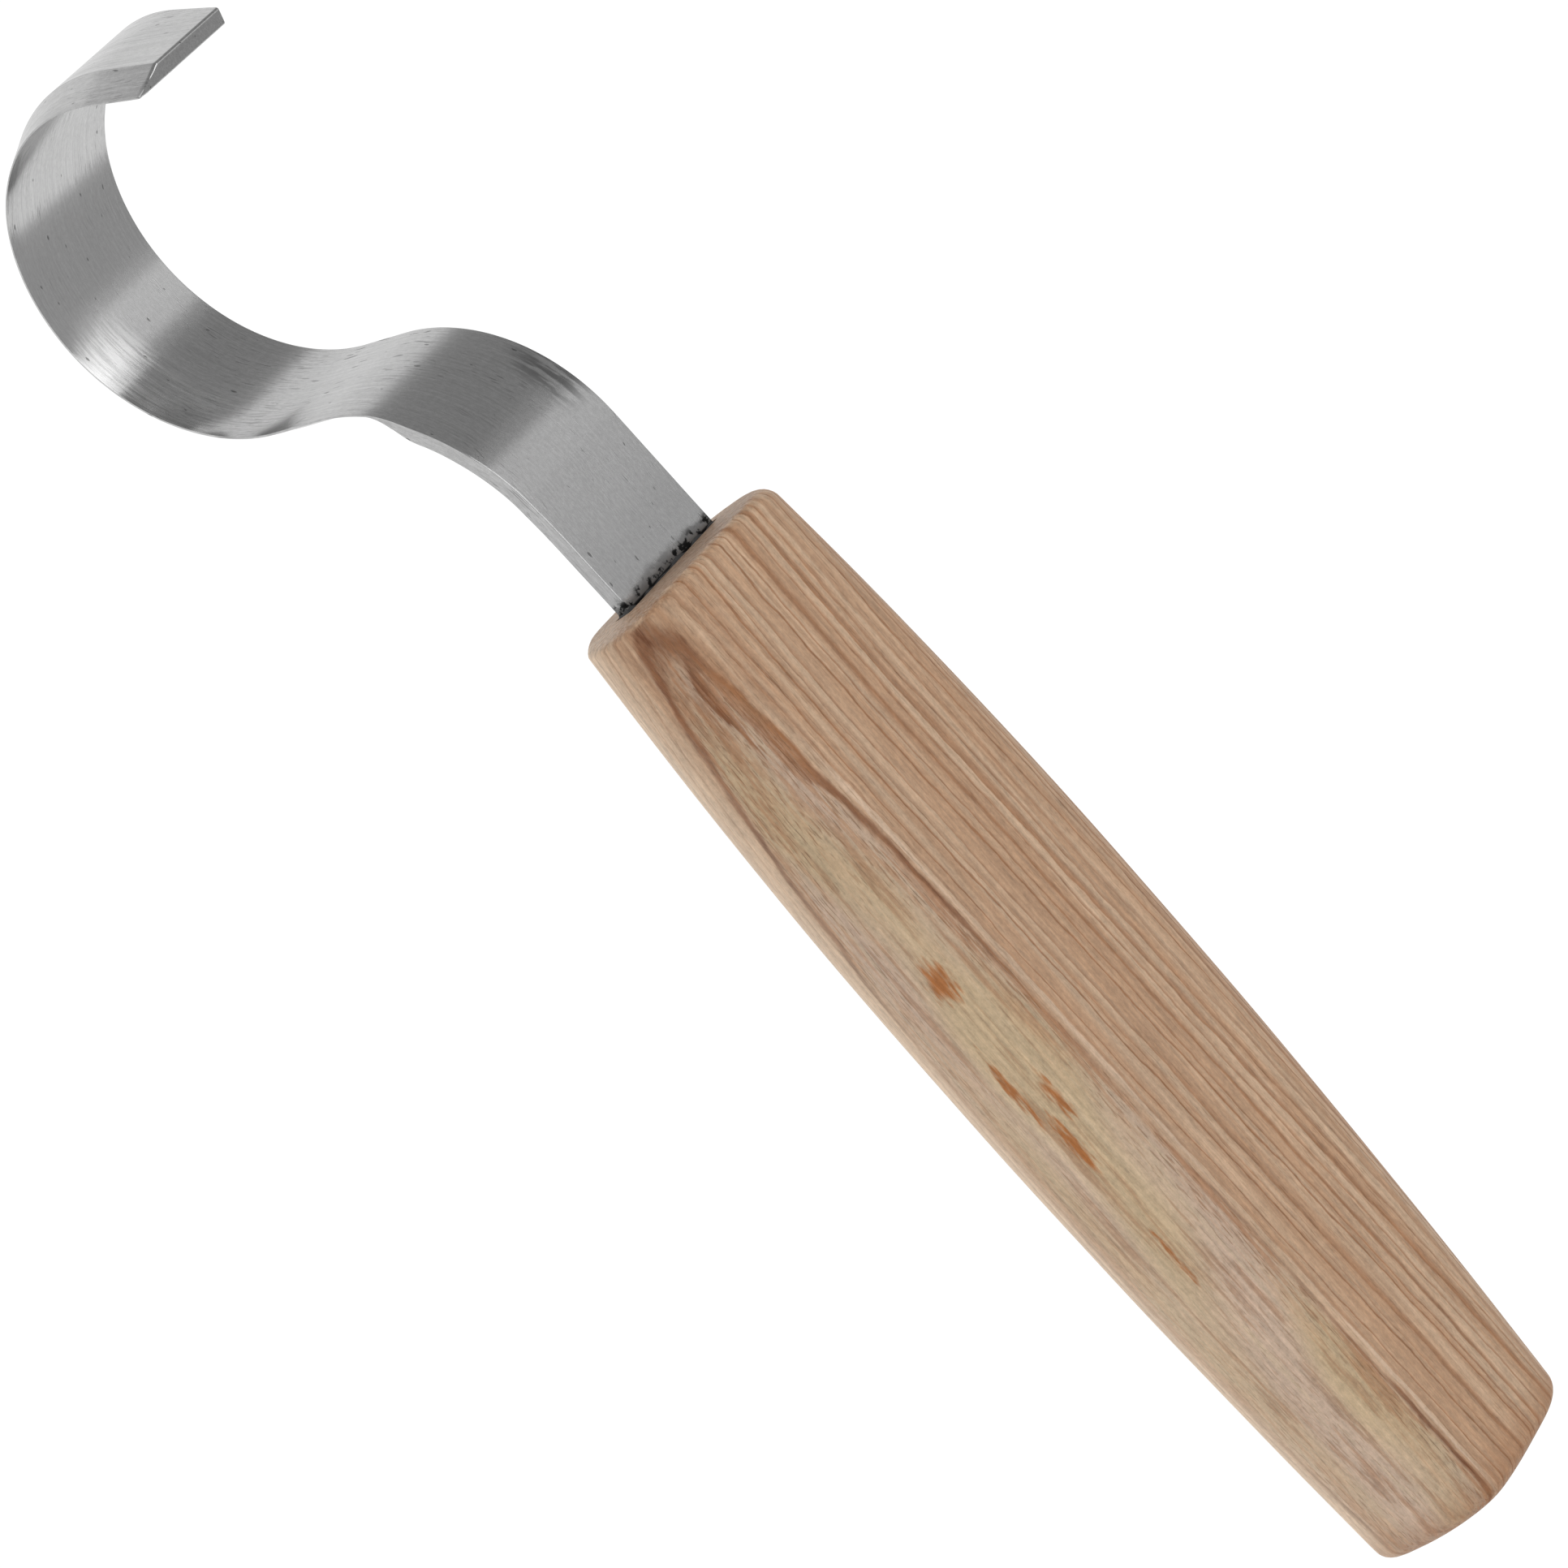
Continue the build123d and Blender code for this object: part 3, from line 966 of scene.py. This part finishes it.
def ash_material():
    """Sanded ash: a striped flat, one dark ring, an olive zone inside it, pores and a few rust marks."""
    s = AshFigure("sanded_ash")
    wood = s.layered(
        s.mix(s.step(s.strand, 0.35, 0.65), PALE_ASH, WARM_ASH),
        (s.product(s.lines, 0.95), BROWN_LINE),
        s.olive_layer(),
        s.stain_layer(),
        s.porous_layer(),
        s.pale_layer(),
        s.dark_layer(),
        (s.product(s.pores, 0.55), PORE),
        *s.rust_layers(),
        s.sapwood_and_floor_light_layer(),
        *s.cut_layers(),
    )
    speckle = s.noise((1.3, 2.6, 2.6), detail=3.0, roughness=0.8)
    shading = s.add("ShaderNodeHueSaturation")
    s.put(shading.inputs["Value"], s.total(s.centred(s.fibre, 0.95), s.centred(speckle, 0.75), 1.0))
    s.put(shading.inputs["Color"], wood)
    s.put(s.surface.inputs["Base Color"], shading.outputs["Color"])
    s.put(s.surface.inputs["Roughness"], s.step(s.fibre, 0.3, 0.7, 0.50, 0.62))
    s.surface.inputs["Specular IOR Level"].default_value = 0.3
    relief = s.total(s.product(s.fibre, 0.5), s.product(s.pores, -1.0), s.product(speckle, 0.3))
    s.link(s.bump(relief, 0.03 * MM, 0.8), s.surface.inputs["Normal"])
    return s.material


def epoxy_material():
    """Black glue, greyer and rougher in patches."""
    s = Shader("dark_epoxy")
    grime = s.noise((2.0, 2.0, 2.0), detail=3.0)
    s.put(s.surface.inputs["Base Color"], s.mix(grime, grey(0.004), grey(0.05)))
    s.put(s.surface.inputs["Roughness"], s.step(grime, 0.3, 0.7, 0.35, 0.7))
    s.link(s.bump(grime, 0.05 * MM, 0.5), s.surface.inputs["Normal"])
    return s.material


# ---------------------------------------------------------------- stage, light and camera

CAMERA_AZIMUTH = 88.027  # from +X towards +Y
CAMERA_ELEVATION = 46.822
CAMERA_ROLL = math.radians(43.835)
CAMERA_DISTANCE = 642.5 * MM
CAMERA_AIM = Vector((0.505, 1.849, 15.25)) * MM
CAMERA_LENS = 164.4
SENSOR = 36.0

# Table top: lit evenly round the knife, fading to a dimmer surround. Sizes are in metres.
TABLE_HALF_SIZE = 3.0
LIT_RADIUS = 0.155
DIM_RADIUS = 0.30
DIM_TABLE = 0.4

# Studio: levels of light from its sides, by the angle from +X over the top towards -X
DIM_SIDE = 0.38
STRIP_LIGHT = 0.72
PALE_WALL = 0.47
STRIP_EDGE = (math.radians(72.0), math.radians(81.0))
WALL_EDGE = (math.radians(104.0), math.radians(114.0))


def direction(azimuth, elevation):
    """Unit vector for an azimuth from +X towards +Y and an elevation, both in degrees."""
    azimuth, elevation = math.radians(azimuth), math.radians(elevation)
    level = math.cos(elevation)
    return Vector((level * math.cos(azimuth), level * math.sin(azimuth), math.sin(elevation)))


def make_camera():
    data = bpy.data.cameras.new("camera")
    data.sensor_width = SENSOR
    data.lens = CAMERA_LENS
    data.clip_start = 0.01
    data.clip_end = 20.0
    camera = add_to_scene("camera", data)
    towards_camera = direction(CAMERA_AZIMUTH, CAMERA_ELEVATION)
    level_right = Vector((0, 0, 1)).cross(towards_camera).normalized()
    level_up = towards_camera.cross(level_right)
    right = level_right * math.cos(CAMERA_ROLL) + level_up * math.sin(CAMERA_ROLL)
    up = towards_camera.cross(right)
    pose = Matrix((right, up, towards_camera)).transposed().to_4x4()
    pose.translation = CAMERA_AIM + towards_camera * CAMERA_DISTANCE
    camera.matrix_world = pose
    bpy.context.scene.camera = camera


def floor_material():
    s = Shader("pale_floor")
    s.surface.inputs["Base Color"].default_value = grey(0.06)
    s.surface.inputs["Roughness"].default_value = 0.9
    s.surface.inputs["Specular IOR Level"].default_value = 0.0
    s.surface.inputs["Emission Color"].default_value = grey(1.0)
    position = s.add("ShaderNodeNewGeometry").outputs["Position"]
    away = s.vector_math("LENGTH", position)["Value"]
    s.put(s.surface.inputs["Emission Strength"], s.step(away, LIT_RADIUS, DIM_RADIUS, 1.0, DIM_TABLE))
    return s.material


def make_floor():
    corners = [(TABLE_HALF_SIZE * x, TABLE_HALF_SIZE * y, 0) for x, y in ((-1, -1), (1, -1), (1, 1), (-1, 1))]
    mesh = bpy.data.meshes.new("floor")
    mesh.from_pydata(corners, [], [(0, 1, 2, 3)])
    floor = add_to_scene("floor", mesh)
    mesh.materials.append(floor_material())


def make_surroundings():
    """A dim studio with a long strip of soft light overhead, along Y, and a paler wall towards -X."""
    world = bpy.data.worlds.new("studio")
    bpy.context.scene.world = world
    world.use_nodes = True
    nodes = Nodes(world.node_tree)
    x, y, z = nodes.parts(nodes.add("ShaderNodeTexCoord").outputs["Generated"])
    angle = nodes.math("ARCTAN2", z, x)
    strip = nodes.step(angle, *STRIP_EDGE, DIM_SIDE, STRIP_LIGHT)
    wall = nodes.step(angle, *WALL_EDGE, 0.0, PALE_WALL - STRIP_LIGHT)
    background = world.node_tree.nodes["Background"]
    nodes.put(background.inputs["Strength"], nodes.total(strip, wall))
    background.inputs["Color"].default_value = grey(1.0)


def make_light(name, azimuth, elevation, distance, size, power):
    """A soft box that faces the knife, placed by its direction from it."""
    data = bpy.data.lights.new(name, "AREA")
    data.shape = "RECTANGLE"
    data.size, data.size_y = size
    data.energy = power
    light = add_to_scene(name, data)
    away = direction(azimuth, elevation)
    light.location = away * distance
    light.rotation_euler = away.to_track_quat("Z", "Y").to_euler()


def make_lights():
    make_light("overhead", azimuth=-90.0, elevation=86.0, distance=1.2, size=(1.0, 1.0), power=5.2)
    make_light("front_fill", azimuth=95.0, elevation=24.0, distance=1.2, size=(0.9, 0.5), power=1.8)


def main():
    bpy.context.scene.view_settings.view_transform = "Standard"
    make_camera()
    make_floor()
    make_surroundings()
    make_lights()
    pieces = (
        (make_blade(), "blade", "steel", steel_material()),
        (make_handle(), "handle", "ash", ash_material()),
        (make_epoxy(), "epoxy_bedding", "epoxy", epoxy_material()),
    )
    for piece, node, slot, material in pieces:
        piece.data.materials.append(material)
        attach(piece, "root")
        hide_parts(node)


main()
